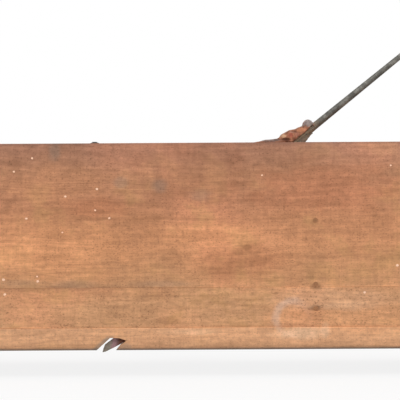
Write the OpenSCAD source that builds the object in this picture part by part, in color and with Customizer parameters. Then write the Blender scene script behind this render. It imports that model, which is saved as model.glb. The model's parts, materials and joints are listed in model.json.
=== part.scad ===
// Forge bellows: a wooden box blower with a sliding piston, worked by an iron
// hand lever on a rock shaft under the lid. Air comes in at both ends and
// leaves through a trunk on the back and an iron nozzle.
// Millimetres, +Z up, the long front face looks along -Y.

/* [Case] */
// Length of the case, left end to right end
case_l = 884; // [864:2:920]
// Depth of the case, front face to back face
case_d = 270; // [260:2:300]
// Height of the case, without its feet
case_h = 340; // [340:2:370]
// Thickness of the wall planks and end boards
plank_t = 22; // [20:1:24]
// Thickness of the lid
lid_t = 22; // [20:1:24]
// Thickness of the floor board
floor_t = 22; // [20:1:24]
// Height of the floor board's underside above the bottom edge
floor_z = 22; // [20:1:24]
// Height of the base rails along the bottom edge
rail_h = 37; // [35:1:40]
// How far the front base rail stands proud of the planks
rail_proud = 2; // [1:0.5:4]
// Rounding of the front rail's lower edge
rail_low_r = 8; // [4:0.5:10]
// Rounding of the front rail's upper edge
rail_top_r = 2; // [2:0.5:6]
// Height of the front lower plank
front_lower_h = 65.5; // [56:0.5:76]
// Height of the back lower plank
back_lower_h = 113; // [108:1:120]
// Chamfer along the outer edges of the planks
plank_chamfer = 0.6; // [0.4:0.1:1.5]

/* [Feet] */
// Height of the feet under the case
foot_h = 46; // [40:1:60]
// Width of each foot along the case
foot_w = 40; // [34:1:50]
// How far each foot stands in from the end of the case
foot_inset = 24; // [20:1:30]
// How far the feet reach out past the front and back faces
foot_reach = 15; // [8:1:24]
// Gap between the feet and the rails beside them
foot_gap = 0.5; // [0.4:0.1:1]

/* [Rail notch and lashing hooks] */
// Middle of the slanted notch, from the centre of the case
notch_x = 154; // [138:1:168]
// Height of the notch in the rail
notch_h = 21; // [18:0.5:22]
// Width of the notch at the bottom edge
notch_w = 35; // [32:0.5:38]
// Lean of the notch from the floor
notch_lean = 42; // [40:0.5:46]
// Thickness of the hook's tongue
hook_t = 9; // [7:0.5:10]
// How far the tongue sits behind the rail's face
hook_recess = 6; // [4:0.5:7]
// Thickness of the hook's plate let into the back of the rail
hook_plate_t = 7; // [5:0.5:8]

/* [Cleats and nails] */
// Distance of the right cleats from the centre
cleat_right_x = 189; // [180:1:200]
// Distance of the left cleats from the centre
cleat_left_x = 272; // [262:1:290]
// Width of the cleats
cleat_w = 40; // [34:1:46]
// Thickness of the cleats
cleat_t = 18; // [14:1:22]
// Length of the case nails
nail_l = 50; // [44:1:56]
// Radius of the nail shanks
nail_r = 2; // [1.5:0.1:2.5]
// Radius of the nail heads
nail_head_r = 4; // [3:0.1:5]
// Height of the nail heads above the wood
nail_proud = 0.6; // [0.4:0.1:1.5]
// Distance of the half-driven nail in the top edge from the centre
loose_nail_x = 173; // [160:1:186]
// Height the half-driven nail stands up
loose_nail_up = 2; // [1:0.5:4]

/* [Lever] */
// Distance of the rock shaft from the centre of the case
pivot_x = 108; // [104:1:114]
// Distance of the rock shaft below the lid's underside
pivot_gap = 18; // [17.5:0.5:22]
// Lean of the lever at rest, from the horizontal
lever_rest = 38.8; // [38:0.2:42]
// Angle the lever swings through
lever_swing = 60; // [52:1:60]
// Radius of the lever rod where its thick root ends
rod_r = 6.2; // [5.4:0.1:6.4]
// Length of the rod's thick root, from the shaft
root_l = 116; // [100:1:130]
// Radius of the lever rod at the grip
rod_tip_r = 4.6; // [4.1:0.1:4.8]
// Distance from the shaft to the grip's ferrule
grip_s = 322; // [316:1:324]
// Length of the grip
grip_l = 104; // [96:1:106]
// Largest radius of the grip
grip_r = 15; // [14:0.5:17]
// Length of the grip's nose under the ferrule
nose_l = 18; // [14:1:22]
// Radius of the rod's tang inside the grip
tang_r = 3.5; // [3:0.1:4]
// Radius of the rock shaft
shaft_r = 8; // [7:0.5:9]
// Radius of the lever's forged hub
hub_r = 15; // [14:0.5:15.5]
// Width of the lever's hub
hub_w = 18; // [16:1:22]
// Width of the collars on the rock shaft
collar_w = 7; // [5:0.5:9]
// How far the rock shaft runs out past its bearings
shaft_over = 4; // [2:0.5:6]
// Thickness of each lower arm
arm_t = 8; // [6:0.5:10]
// Width of the lower arms at the shaft
arm_w = 24; // [20:1:28]
// Lowest height of the drive pin above the floor board
pin_drop = 31; // [31:0.5:38]
// Radius of the drive pin
pin_r = 6; // [5:0.5:7]
// Iron left round the drive pin
pin_wall = 7; // [5:0.5:8]
// Running clearance of shaft and bearings
run_gap = 0.06; // [0.04:0.01:0.1]
// Assembly clearance of pressed pieces
press_gap = 0.05; // [0.03:0.01:0.08]
// Clearance round the rod in the lid's slot
slot_gap = 1.6; // [1.2:0.1:3]

/* [Shaft bearings] */
// Length of each bearing block along the case
bearing_l = 44; // [42:1:48]
// Thickness of each bearing block
bearing_t = 24; // [20:1:28]
// Distance of each bearing's middle from the lever
bearing_y = 60; // [56:1:66]
// Wood left under the shaft
bearing_under = 14; // [12:1:18]
// Radius of the bearing bolts
bolt_r = 3; // [2.5:0.25:3.5]

/* [Piston] */
// Thickness of the piston board
piston_t = 20; // [18:1:22]
// Distance from the piston's middle to the drive pin
yoke_l = 150; // [148:1:156]
// Thickness of the leather packing round the piston
packing_t = 4; // [3:0.5:5]
// Gap between packing and the case
packing_gap = 0.4; // [0.4:0.1:1]
// Thickness of the yoke bar
yoke_t = 8; // [6:0.5:10]
// Height of the yoke bar
yoke_h = 44; // [38:1:48]
// Play of the drive pin in the yoke's slot
yoke_play = 2.6; // [2.4:0.1:3.5]
// Iron left round the yoke's slot
yoke_wall = 11; // [9:0.5:12]
// Thickness of the yoke's flange
yoke_flange_t = 8; // [6:0.5:10]
// Width of the yoke's flange
yoke_flange_w = 64; // [56:1:70]
// How far the flange stands out above and below the bar
yoke_lip = 20; // [16:1:20]
// Radius of the yoke's bolts
yoke_bolt_r = 4; // [3:0.25:4.5]
// Distance of the yoke's bolts from the flange's edges
yoke_edge = 11; // [9:0.5:12]
// Thickness of the piston battens
batten_t = 18; // [14:1:22]
// Width of the piston battens
batten_w = 40; // [34:1:46]
// Distance of the battens' middles from the middle of the piston
batten_y = 66; // [60:1:72]
// Gap between the battens' ends and the case
batten_gap = 18; // [14:1:24]

/* [Flaps] */
// Width of the air inlet in each end board
inlet_w = 76; // [70:1:79]
// Height of the air inlet in each end board
inlet_h = 60; // [54:1:64]
// Middle of the air inlet above the bottom edge
inlet_z = 190; // [180:1:200]
// Width of each outlet in the back wall
outlet_w = 70; // [62:1:76]
// Height of each outlet in the back wall
outlet_h = 40; // [34:1:42]
// Middle of the outlets above the bottom edge
outlet_z = 80; // [78:1:84]
// Distance of each outlet's middle from the end of the case
outlet_inset = 100; // [96:1:112]
// Thickness of the flaps' wood
flap_t = 10; // [8:0.5:12]
// Thickness of the flaps' leather
flap_leather_t = 3; // [2:0.5:4]
// How far a flap laps past its port
flap_lap = 11; // [9:0.5:12]
// Gap between a flap and its seat
seat_gap = 0.3; // [0.3:0.1:0.6]
// Gap between a flap and its hinge strip
hinge_gap = 1.6; // [1.5:0.1:2.5]
// Height of the leather hinge strips
hinge_h = 22; // [18:1:24]

/* [Wind trunk and nozzle] */
// Clear depth of the trunk
trunk_d = 60; // [58:1:70]
// Clear height of the trunk
trunk_h = 110; // [108:1:116]
// Height of the trunk's floor above the bottom edge
trunk_z = 30; // [28:1:32]
// Thickness of the trunk boards
trunk_t = 16; // [14:1:18]
// Distance of the trunk's end from the end of the case
trunk_inset = 24; // [20:1:30]
// Outer radius of the nozzle pipe
nozzle_r = 20; // [18:0.5:23]
// Radius of the nozzle's bore
nozzle_bore = 14.5; // [13:0.5:15]
// Outer radius at the nozzle's tip
nozzle_tip_r = 17; // [16.5:0.5:17.5]
// Straight length of the nozzle outside its flange
nozzle_l = 110; // [90:1:130]
// Length of the tapered tip
nozzle_tip_l = 34; // [24:1:44]
// Width of the square flange
flange_w = 92; // [86:1:96]
// Thickness of the flange
flange_t = 5; // [4:0.5:7]

/* [Slot leather] */
// Width of the leather over the lever slot
leather_w = 44; // [40:1:50]
// Thickness of the leather where it lies flat
leather_t = 2.6; // [2:0.1:3.5]
// Reach of the leather up the rod from the lid
leather_up = 53; // [46:1:56]
// Bulge of the leather off the rod
leather_bulge = 15; // [10:0.5:16]
// Gap between leather and rod
leather_gap = 0.5; // [0.4:0.1:1]
// Flat margin nailed down beside the slot
leather_margin = 24; // [20:1:30]

/* [Hidden] */
$fn = 48;
hx = case_l / 2;
hy = case_d / 2;
iy = hy - plank_t;
ix = hx - plank_t;
lid_z = case_h - lid_t;
floor_top = floor_z + floor_t;
front_seam = rail_h + front_lower_h;
back_seam = rail_h + back_lower_h;
pivot_z = lid_z - pivot_gap;
half_swing = lever_swing / 2;
arm_l = pivot_z - floor_top - pin_drop;
pin_x = pivot_x - arm_l * sin(half_swing);
pin_high = pivot_z - arm_l * cos(half_swing);
pin_low = pivot_z - arm_l;
yoke_z = (pin_high + pin_low) / 2;
piston_x = pin_x - yoke_l;
piston_left = piston_x - piston_t / 2;
piston_right = piston_x + piston_t / 2;
yoke_face = piston_right + yoke_flange_t;
yoke_half = yoke_h / 2 + yoke_lip;
arm_y = hub_w / 2;
arm_end = arm_y + arm_t;
arm_angle = 270 - half_swing;
notch_run = notch_h / tan(notch_lean);
notch_left = -notch_x - notch_w / 2;
slot_rise = case_h - pivot_z;
root_thin = (hub_w / 2 - rod_r) / root_l;
low_rod_r = hub_w / 2 - root_thin * pivot_gap;
high_rod_r = hub_w / 2 - root_thin * slot_rise / sin(lever_rest);
slot_left = pivot_x - slot_rise * tan(lever_rest + lever_swing - 90) - low_rod_r - slot_gap;
slot_right = pivot_x + slot_rise / tan(lever_rest) + low_rod_r / sin(lever_rest) + slot_gap;
slot_half = low_rod_r + slot_gap;
trunk_x = hx - trunk_inset;
trunk_back = hy + trunk_d;
trunk_face = trunk_back + trunk_t;
trunk_top = trunk_z + trunk_h;
nozzle_z = trunk_z + trunk_h / 2;
spigot_r = nozzle_r * 0.925;
nose_r = grip_r * 0.73;
flange_y = trunk_face + flange_t;
nozzle_end = flange_y + nozzle_l + nozzle_tip_l;
foot_y = hy + foot_reach;
foot_x = hx - foot_inset - foot_w / 2;
outlet_x = hx - outlet_inset;
y_shift = (foot_y - nozzle_end) / 2;
inlet_hinge = inlet_z + inlet_h / 2 + flap_lap + 3;
outlet_hinge = outlet_z + outlet_h / 2 + flap_lap + 1;
rail_back = -iy;
rail_front = -hy - rail_proud;
tack_x = slot_left - leather_margin / 2;
wood_old = [0.72, 0.50, 0.34];
wood_rail = [0.80, 0.60, 0.42];
wood_inner = [0.62, 0.47, 0.32];
iron = [0.32, 0.31, 0.30];
leather = [0.55, 0.33, 0.22];

// Box between two opposite corners
module block(a, b) {
  translate(a) cube(b - a);
}

// YZ outline run along X
module run_x(x0, x1) {
  translate([x0, 0, 0]) rotate([90, 0, 90]) linear_extrude(x1 - x0) children();
}

// XZ outline run along Y
module run_y(y0, y1) {
  translate([0, y1, 0]) rotate([90, 0, 0]) linear_extrude(y1 - y0) children();
}

// Round bar along Y, centred on the axis through the origin
module bar_y(r, y0, y1) {
  translate([0, y0, 0]) rotate([-90, 0, 0]) cylinder(r = r, h = y1 - y0);
}

// Round bar along X
module bar_x(r, x0, x1) {
  translate([x0, 0, 0]) rotate([0, 90, 0]) cylinder(r = r, h = x1 - x0);
}

// The case stands on its feet, and the whole object is centred over the origin
module in_case() {
  translate([0, y_shift, foot_h]) children();
}

// Lever frame: X runs up the rod at rest
module at_lever() {
  translate([pivot_x, 0, pivot_z]) rotate([0, -lever_rest, 0]) children();
}

// Lower arm frame: X runs down the arm at rest
module at_arm() {
  translate([pivot_x, 0, pivot_z]) rotate([0, -arm_angle, 0]) children();
}

// Driven nail: head towards +Z at the wood's surface, shank below
module nail(l) {
  translate([0, 0, -l]) cylinder(r = nail_r, h = l);
  translate([0, 0, -nail_r / 2]) cylinder(r = nail_head_r, h = nail_r / 2 + nail_proud);
}

// Nail driven into the front face
module nail_front(x, z, l) {
  translate([x, -hy, z]) rotate([90, 0, 0]) nail(l);
}

// Nail driven into the back face
module nail_back(x, z, y, l) {
  translate([x, y, z]) rotate([-90, 0, 0]) nail(l);
}

// Wall plank outline with its outer edges eased, front wall side
module plank_outline(z0, z1) {
  polygon([
    [-iy, z0], [-iy, z1],
    [-hy + plank_chamfer, z1], [-hy, z1 - plank_chamfer],
    [-hy, z0 + plank_chamfer], [-hy + plank_chamfer, z0]
  ]);
}

module front_upper_plank() {
  color(wood_old) run_x(-hx, hx) plank_outline(front_seam, case_h);
}

module front_lower_plank() {
  color(wood_old) run_x(-hx, hx) plank_outline(rail_h, front_seam);
}

// Slanted notch through a base rail, in XZ
module notch_outline() {
  top_x = notch_left + notch_run;
  low_x = notch_left + notch_w * 0.92;
  polygon([
    [notch_left, -1], [notch_left, 0], [top_x, notch_h],
    [top_x + notch_w * 0.43, notch_h * 0.956], [notch_left + notch_w * 1.43, notch_h * 0.77],
    [notch_left + notch_w * 1.14, notch_h * 0.45], [low_x, 0], [low_x, -1]
  ]);
}

// Tongue of the lashing hook, in XZ: a tapered iron that points down to the left
module tongue_outline() {
  top_x = notch_left + notch_run;
  polygon([
    [notch_left + notch_w * 0.285, notch_h * -0.15], [notch_left + notch_w * 0.43, notch_h * -0.1],
    [notch_left + notch_w * 0.84, notch_h * 0.225], [notch_left + notch_w * 1.1, notch_h * 0.455],
    [notch_left + notch_w * 1.38, notch_h * 0.765], [top_x + notch_w * 0.44, notch_h * 0.91],
    [top_x + notch_w * 0.14, notch_h * 0.955], [notch_left + notch_w * 0.66, notch_h * 0.75],
    [notch_left + notch_w * 0.4, notch_h * 0.45], [notch_left + notch_w * 0.325, notch_h * 0.13]
  ]);
}

// Plate of the hook, let into the back of the rail
module hook_plate(gap) {
  x0 = notch_left + notch_run + notch_w * 0.17;
  block([x0 - gap, rail_back - hook_plate_t - gap, notch_h * 0.585 - gap],
        [x0 + notch_w * 0.86 + gap, rail_back, rail_h * 0.865 + gap]);
}

module rail_outline(front) {
  difference() {
    translate([front, 0]) square([rail_back - front, rail_h]);
    difference() {
      translate([front - 1, -1]) square(rail_low_r + 1);
      translate([front + rail_low_r, rail_low_r]) circle(rail_low_r);
    }
    difference() {
      translate([front - 1, rail_h - rail_top_r]) square(rail_top_r + 1);
      translate([front + rail_top_r, rail_h - rail_top_r]) circle(rail_top_r);
    }
  }
}

module base_rail(front) {
  difference() {
    run_x(-hx, hx) rail_outline(front);
    run_y(front - 1, rail_back + 1) notch_outline();
    hook_plate(0.2);
  }
}

module lashing_hook(front) {
  run_y(front + hook_recess, front + hook_recess + hook_t) tongue_outline();
  run_y(front + hook_recess, rail_back - hook_plate_t + 0.01) intersection() {
    tongue_outline();
    translate([-hx, notch_h * 0.585]) square([case_l, notch_h]);
  }
  hook_plate(0);
}

module front_base_rail() {
  color(wood_rail) base_rail(rail_front);
}

module front_lashing_hook() {
  color(iron) lashing_hook(rail_front);
}

module back_base_rail() {
  color(wood_old) rotate([0, 0, 180]) base_rail(-hy);
}

module back_lashing_hook() {
  color(iron) rotate([0, 0, 180]) lashing_hook(-hy);
}

module back_upper_plank() {
  color(wood_old) mirror([0, 1, 0]) run_x(-hx, hx) plank_outline(back_seam, case_h);
}

module back_lower_plank() {
  color(wood_old) difference() {
    mirror([0, 1, 0]) run_x(-hx, hx) plank_outline(rail_h, back_seam);
    for (s = [-1, 1])
      block([s * outlet_x - outlet_w / 2, iy - 1, outlet_z - outlet_h / 2],
            [s * outlet_x + outlet_w / 2, hy + 1, outlet_z + outlet_h / 2]);
  }
}

module end_board() {
  difference() {
    block([ix, -iy, 0], [hx, iy, lid_z]);
    block([ix - 1, -inlet_w / 2, inlet_z - inlet_h / 2],
          [hx + 1, inlet_w / 2, inlet_z + inlet_h / 2]);
  }
}

module right_end_board() {
  color(wood_old) end_board();
}

module left_end_board() {
  color(wood_old) mirror([1, 0, 0]) end_board();
}

module floor_board() {
  color(wood_inner) block([-ix, -iy, floor_z], [ix, iy, floor_top]);
}

module bolt_spots() {
  for (s = [-1, 1], x = [-0.34, 0.34])
    translate([pivot_x + x * bearing_l, s * bearing_y, 0]) children();
}

module lid_board() {
  color(wood_old) difference() {
    block([-hx, -iy, lid_z], [hx, iy, case_h]);
    block([slot_left, -slot_half, lid_z - 1], [slot_right, slot_half, case_h + 1]);
    bolt_spots() translate([0, 0, lid_z - 1]) cylinder(r = bolt_r + press_gap, h = lid_t + 2);
  }
}

module wall_cleats() {
  color(wood_inner)
    for (s = [-1, 1], x = [-cleat_left_x, cleat_right_x])
      block([x - cleat_w / 2, s > 0 ? iy - cleat_t : -iy, floor_top],
            [x + cleat_w / 2, s > 0 ? iy : cleat_t - iy, lid_z]);
}

// Cross bearer with an upstand between the rails that carries the floor
module foot(x) {
  run_x(x - foot_w / 2, x + foot_w / 2) polygon([
    [-foot_y, -foot_h], [foot_y, -foot_h], [foot_y, -foot_reach], [foot_y - foot_reach, 0],
    [iy - foot_gap, 0], [iy - foot_gap, floor_z], [foot_gap - iy, floor_z], [foot_gap - iy, 0],
    [foot_reach - foot_y, 0], [-foot_y, -foot_reach]
  ]);
}

module left_foot() {
  color(wood_inner) foot(-foot_x);
}

module right_foot() {
  color(wood_inner) foot(foot_x);
}

module shaft_bearing() {
  difference() {
    block([pivot_x - bearing_l / 2, bearing_y - bearing_t / 2, pivot_z - shaft_r - bearing_under],
          [pivot_x + bearing_l / 2, bearing_y + bearing_t / 2, lid_z]);
    translate([pivot_x, 0, pivot_z])
      bar_y(shaft_r + run_gap, bearing_y - bearing_t, bearing_y + bearing_t);
    bolt_spots() cylinder(r = bolt_r + press_gap, h = case_h);
  }
}

module back_shaft_bearing() {
  color(wood_inner) shaft_bearing();
}

module front_shaft_bearing() {
  color(wood_inner) mirror([0, 1, 0]) shaft_bearing();
}

// Bolts down through the lid and the bearing blocks, round heads on the lid
module bearing_bolts() {
  low = pivot_z - shaft_r - bearing_under;
  nut = bolt_r * 1.3;
  color(iron) bolt_spots() {
    translate([0, 0, low - nut]) cylinder(r = bolt_r, h = case_h - low + nut + bolt_r * 0.15);
    translate([0, 0, case_h]) cylinder(r1 = bolt_r * 2.3, r2 = bolt_r * 1.5, h = bolt_r * 0.8);
    translate([0, 0, low - nut]) cylinder(r = bolt_r * 1.8, h = nut);
  }
}

module trunk_slab(z) {
  block([-trunk_x, hy, z], [trunk_x, trunk_face, z + trunk_t]);
}

module trunk_top_board() {
  color(wood_old) trunk_slab(trunk_top);
}

module trunk_bottom_board() {
  color(wood_old) trunk_slab(trunk_z - trunk_t);
}

module trunk_face_board() {
  color(wood_old) difference() {
    block([-trunk_x, trunk_back, trunk_z], [trunk_x, trunk_face, trunk_top]);
    translate([0, 0, nozzle_z]) bar_y(spigot_r + press_gap, trunk_back - 1, trunk_face + 1);
  }
}

module trunk_end() {
  block([trunk_x - trunk_t, hy, trunk_z], [trunk_x, trunk_back, trunk_top]);
}

module trunk_right_end() {
  color(wood_old) trunk_end();
}

module trunk_left_end() {
  color(wood_old) mirror([1, 0, 0]) trunk_end();
}

module trunk_nails() {
  step = (2 * trunk_x - 4 * trunk_t) / 5;
  color(iron) {
    for (i = [0:5])
      translate([2 * trunk_t - trunk_x + i * step, trunk_back + trunk_t / 2, trunk_top + trunk_t])
        nail(nail_l * 0.76);
    for (s = [-1, 1], z = [0.3, 0.7])
      nail_back(s * (trunk_x - trunk_t / 2), trunk_z + trunk_h * z, trunk_face, nail_l * 0.76);
  }
}

module flange_spots() {
  for (s = [-1, 1], t = [-1, 1])
    translate([s * flange_w * 0.4, 0, nozzle_z + t * flange_w * 0.4]) children();
}

module nozzle_flange() {
  color(iron) difference() {
    block([-flange_w / 2, trunk_face, nozzle_z - flange_w / 2],
          [flange_w / 2, flange_y, nozzle_z + flange_w / 2]);
    translate([0, 0, nozzle_z]) bar_y(spigot_r + press_gap, trunk_face - 1, flange_y + 1);
    flange_spots() bar_y(nail_r + press_gap, trunk_face - 1, flange_y + 1);
  }
}

module nozzle_nails() {
  color(iron) flange_spots() {
    bar_y(nail_r, trunk_back + trunk_t / 8, flange_y + nail_r / 2);
    bar_y(nail_head_r, flange_y, flange_y + nail_r * 0.8);
  }
}

module nozzle_pipe() {
  straight = flange_y + nozzle_l;
  color(iron) translate([0, trunk_back, nozzle_z]) rotate([-90, 0, 0])
    rotate_extrude() polygon([
      [nozzle_bore, 0], [spigot_r, 0], [spigot_r, flange_y - trunk_back],
      [nozzle_r, flange_y - trunk_back], [nozzle_r, straight - trunk_back],
      [nozzle_tip_r, nozzle_end - trunk_back], [nozzle_bore, nozzle_end - trunk_back]
    ]);
}

// Old leather that closes the lever slot: flat on the lid, then up over the rod
module slot_leather() {
  edge = (high_rod_r + leather_gap) / sin(lever_rest);
  foot = pivot_x + slot_rise / tan(lever_rest) - edge;
  ux = cos(lever_rest);
  uz = sin(lever_rest);
  top_x = foot + leather_up * ux;
  top_z = case_h + leather_up * uz;
  left = slot_left - leather_margin;
  color(leather) run_y(-leather_w / 2, leather_w / 2) polygon([
    [left, case_h], [foot, case_h], [top_x, top_z],
    [top_x - leather_bulge * 0.2, top_z + leather_bulge * 0.5],
    [top_x - leather_bulge * 0.75, top_z + leather_bulge * 0.5],
    [top_x - leather_bulge * 1.2, top_z - leather_bulge * 0.1],
    [foot + leather_up * 0.45 * ux - leather_bulge * 0.6,
     case_h + leather_up * 0.45 * uz + leather_bulge * 0.8],
    [foot - leather_bulge * 0.2, case_h + leather_bulge * 1.2],
    [foot - leather_bulge * 0.93, case_h + leather_bulge * 0.75],
    [slot_left + leather_margin * 0.42, case_h + leather_t * 2],
    [slot_left, case_h + leather_t], [left, case_h + leather_t]
  ]);
}

module leather_tacks() {
  color(iron)
    for (i = [-1:1])
      translate([tack_x, i * leather_w * 0.36, case_h + leather_t]) {
        translate([0, 0, nail_l * -0.24]) cylinder(r = nail_r / 2, h = nail_l * 0.24);
        translate([0, 0, -0.01]) cylinder(r1 = nail_r * 1.7, r2 = nail_r * 0.8, h = nail_r * 0.8);
      }
}

module case_nails() {
  color(iron) {
    for (s = [-1, 1], k = [0.1, 0.36, 0.64, 0.9]) {
      nail_front(s * (hx - plank_t / 2), rail_h + k * (lid_z - rail_h), nail_l);
      nail_back(s * (hx - plank_t / 2), rail_h + k * (lid_z - rail_h), hy, nail_l);
    }
    translate([-loose_nail_x, plank_t / 2 - hy, case_h + loose_nail_up]) nail(nail_l * 0.6);
  }
}

module cleat_nails() {
  l = plank_t + cleat_t * 0.7;
  color(iron) {
    nail_front(cleat_right_x, front_seam - front_lower_h * 0.54, l);
    nail_front(cleat_right_x, front_seam + nail_head_r * 1.125, l);
    nail_front(cleat_right_x, front_seam + (case_h - front_seam) * 0.46, l);
    for (x = [-cleat_left_x, cleat_right_x], k = [0.2, 0.5, 0.75])
      nail_back(x, back_seam + k * (lid_z - back_seam), hy, l);
  }
}

module lid_nails() {
  color(iron) {
    for (s = [-1, 1], y = [-0.72, 0, 0.72])
      translate([s * (hx - plank_t / 2), y * iy, case_h]) nail(nail_l);
    for (s = [-1, 1], x = [-cleat_left_x, cleat_right_x])
      translate([x, s * (iy - cleat_t / 2), case_h]) nail(nail_l);
  }
}

// Flap parts in a seat frame: the seat is the plane X = 0 and the flap opens to +X.
// The hinge line runs along Y at Z = 0 and the port hangs below it.
module flap_wood(w, h) {
  x0 = seat_gap + flap_leather_t;
  block([x0, -w / 2, -h], [x0 + flap_t, w / 2, -hinge_gap]);
}

module flap_leather(w, h) {
  block([seat_gap, -w / 2, -h], [seat_gap + flap_leather_t, w / 2, -hinge_gap]);
}

module hinge_strip(w) {
  block([0, -w / 2, 0], [flap_leather_t, w / 2, hinge_h]);
}

inlet_flap_w = inlet_w + 2 * flap_lap;
inlet_flap_h = inlet_hinge - inlet_z + inlet_h / 2 + flap_lap;
outlet_flap_w = outlet_w + 2 * flap_lap;
outlet_flap_h = outlet_hinge - outlet_z + outlet_h / 2 + flap_lap;

module at_left_inlet() {
  translate([-ix, 0, inlet_hinge]) children();
}

module at_right_inlet() {
  mirror([1, 0, 0]) at_left_inlet() children();
}

module at_right_outlet() {
  translate([outlet_x, hy, outlet_hinge]) rotate([0, 0, 90]) children();
}

module at_left_outlet() {
  mirror([1, 0, 0]) at_right_outlet() children();
}

module left_inlet_hinge() {
  color(leather) at_left_inlet() hinge_strip(inlet_flap_w);
}

module right_inlet_hinge() {
  color(leather) at_right_inlet() hinge_strip(inlet_flap_w);
}

module left_outlet_hinge() {
  color(leather) at_left_outlet() hinge_strip(outlet_flap_w);
}

module right_outlet_hinge() {
  color(leather) at_right_outlet() hinge_strip(outlet_flap_w);
}

module left_inlet_flap() {
  color(wood_inner) at_left_inlet() flap_wood(inlet_flap_w, inlet_flap_h);
}

module left_inlet_facing() {
  color(leather) at_left_inlet() flap_leather(inlet_flap_w, inlet_flap_h);
}

module right_inlet_flap() {
  color(wood_inner) at_right_inlet() flap_wood(inlet_flap_w, inlet_flap_h);
}

module right_inlet_facing() {
  color(leather) at_right_inlet() flap_leather(inlet_flap_w, inlet_flap_h);
}

module left_outlet_flap() {
  color(wood_inner) at_left_outlet() flap_wood(outlet_flap_w, outlet_flap_h);
}

module left_outlet_facing() {
  color(leather) at_left_outlet() flap_leather(outlet_flap_w, outlet_flap_h);
}

module right_outlet_flap() {
  color(wood_inner) at_right_outlet() flap_wood(outlet_flap_w, outlet_flap_h);
}

module right_outlet_facing() {
  color(leather) at_right_outlet() flap_leather(outlet_flap_w, outlet_flap_h);
}

// Forged lever: eye on the shaft, tapered round rod, thin tang in the grip
module lever_rod() {
  color(iron) at_lever() difference() {
    union() {
      bar_y(hub_r, -hub_w / 2, hub_w / 2);
      rotate([0, 90, 0]) cylinder(r1 = hub_w / 2, r2 = rod_r, h = root_l);
      translate([root_l, 0, 0]) rotate([0, 90, 0]) cylinder(r1 = rod_r, r2 = rod_tip_r, h = grip_s - root_l);
      bar_x(tang_r, grip_s - 1, grip_s + grip_l * 0.7);
    }
    bar_y(shaft_r + press_gap, -hub_w, hub_w);
  }
}

// Turned wooden grip with a nose for the ferrule and a rounded butt
module lever_grip() {
  neck = grip_r * 0.84;
  body = grip_l - nose_l;
  color(wood_inner) at_lever() translate([grip_s, 0, 0]) rotate([0, 90, 0])
    difference() {
      rotate_extrude() polygon(concat(
        [[0, 0], [nose_r, 0], [nose_r, nose_l]],
        [for (i = [0:12]) let (t = i / 12)
          [neck + (grip_r - neck) * sin(180 * min(1, t * 1.1)) - grip_r * 0.43 * pow(t, 6),
           nose_l + body * t * 0.96]],
        [[0, grip_l]]
      ));
      translate([0, 0, -1]) cylinder(r = tang_r + press_gap, h = grip_l * 0.7 + 2);
    }
}

module grip_ferrule() {
  color(iron) at_lever() translate([grip_s, 0, 0]) rotate([0, 90, 0])
    difference() {
      cylinder(r = grip_r * 0.825, h = nose_l * 0.98);
      translate([0, 0, -1]) cylinder(r = nose_r + press_gap, h = nose_l + 2);
    }
}

module rock_shaft() {
  color(iron) translate([pivot_x, 0, pivot_z])
    bar_y(shaft_r, -bearing_y - bearing_t / 2 - shaft_over, bearing_y + bearing_t / 2 + shaft_over);
}

module shaft_collars() {
  y1 = bearing_y - bearing_t / 2 - 0.4;
  color(iron) translate([pivot_x, 0, pivot_z])
    for (s = [0, 1]) mirror([0, s, 0]) difference() {
      bar_y(shaft_r * 1.625, y1 - collar_w, y1);
      bar_y(shaft_r + press_gap, y1 - collar_w - 1, y1 + 1);
    }
}

module lower_arm() {
  at_arm() difference() {
    run_y(arm_y, arm_end) {
      circle(hub_r);
      polygon([[0, -arm_w / 2], [arm_l, arm_w * -0.375], [arm_l, arm_w * 0.375], [0, arm_w / 2]]);
      translate([arm_l, 0]) circle(pin_r + pin_wall);
    }
    bar_y(shaft_r + press_gap, arm_y - 1, arm_end + 1);
    translate([arm_l, 0, 0]) bar_y(pin_r + press_gap, arm_y - 1, arm_end + 1);
  }
}

module back_lower_arm() {
  color(iron) lower_arm();
}

module front_lower_arm() {
  color(iron) mirror([0, 1, 0]) lower_arm();
}

module drive_pin() {
  color(iron) at_arm() translate([arm_l, 0, 0]) {
    bar_y(pin_r, -arm_end - pin_r / 6, arm_end + pin_r / 6);
    for (s = [0, 1]) mirror([0, s, 0]) bar_y(pin_r * 1.5, arm_end, arm_end + pin_r * 0.58);
  }
}

// Board outline of the piston with its leather allowance taken off
module piston_slab(gap, x0, x1) {
  block([x0, gap - iy, floor_top + gap], [x1, iy - gap, lid_z - gap]);
}

module yoke_spots() {
  for (s = [-1, 1], t = [-1, 1])
    translate([0, s * (yoke_flange_w / 2 - yoke_edge), yoke_z + t * (yoke_half - yoke_edge)])
      children();
}

module piston_board() {
  color(wood_inner) difference() {
    piston_slab(packing_gap + packing_t, piston_left, piston_right);
    yoke_spots() bar_x(yoke_bolt_r + press_gap, piston_left - 1, piston_right + 1);
  }
}

module piston_packing() {
  color(leather) difference() {
    piston_slab(packing_gap, piston_left, piston_right);
    piston_slab(packing_gap + packing_t, piston_left - 1, piston_right + 1);
  }
}

module piston_battens() {
  color(wood_inner)
    for (s = [-1, 1])
      block([piston_left - batten_t, s * batten_y - batten_w / 2, floor_top + batten_gap],
            [piston_left, s * batten_y + batten_w / 2, lid_z - batten_gap]);
}

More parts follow.
